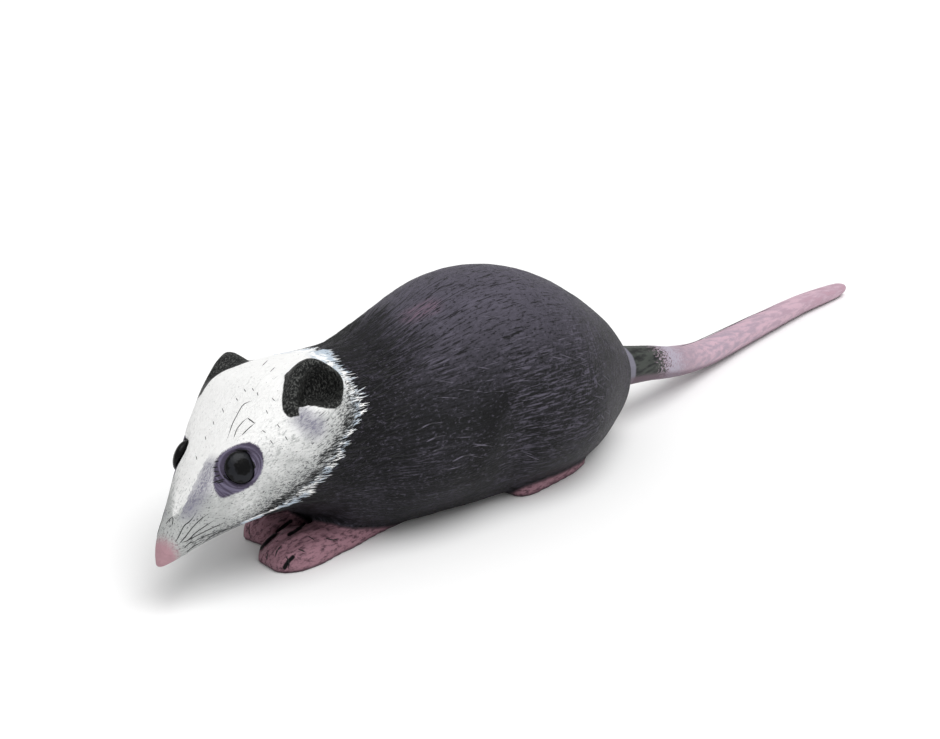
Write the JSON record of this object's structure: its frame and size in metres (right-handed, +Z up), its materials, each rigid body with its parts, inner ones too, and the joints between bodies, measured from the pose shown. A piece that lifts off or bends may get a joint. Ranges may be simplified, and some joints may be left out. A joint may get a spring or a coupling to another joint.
{
  "type": "carved wooden opossum figure",
  "caption": "Crouching opossum carved in wood and painted, with a turned head, scooped ears, low paws and a long tapering tail laid along the floor.",
  "frame": {"origin": "on the flat underside, below the middle of the body", "axes": "+X towards the nose, +Y to the animal's left, +Z up"},
  "size_m": [0.2822, 0.0575, 0.0543],
  "materials": {
    "charcoal_paint": "carved wood under satin charcoal paint, dry-brushed in purple grey",
    "white_paint": "carved wood under matt white paint with grey strokes",
    "black_paint": "carved wood under satin black paint",
    "pink_paint": "carved wood under satin dusty pink paint with plum shading",
    "tail_paint": "whittled wood under satin pale pink paint",
    "eye_paint": "carved wood under glossy black paint"
  },
  "bodies": {
    "root": {"torso": "charcoal_paint", "neck": "charcoal_paint", "foreleg_left": "charcoal_paint", "foreleg_right": "charcoal_paint", "thigh_left": "charcoal_paint", "thigh_right": "charcoal_paint", "tail_base": "charcoal_paint", "head": "white_paint", "ear_left": "black_paint", "ear_right": "black_paint", "eye_left": "eye_paint", "eye_right": "eye_paint", "nose": "pink_paint", "forepaw_left": "pink_paint", "forepaw_right": "pink_paint", "hind_foot_left": "pink_paint", "hind_foot_right": "pink_paint", "tail_middle": "tail_paint", "tail_tip": "tail_paint"}
  },
  "joints": []
}
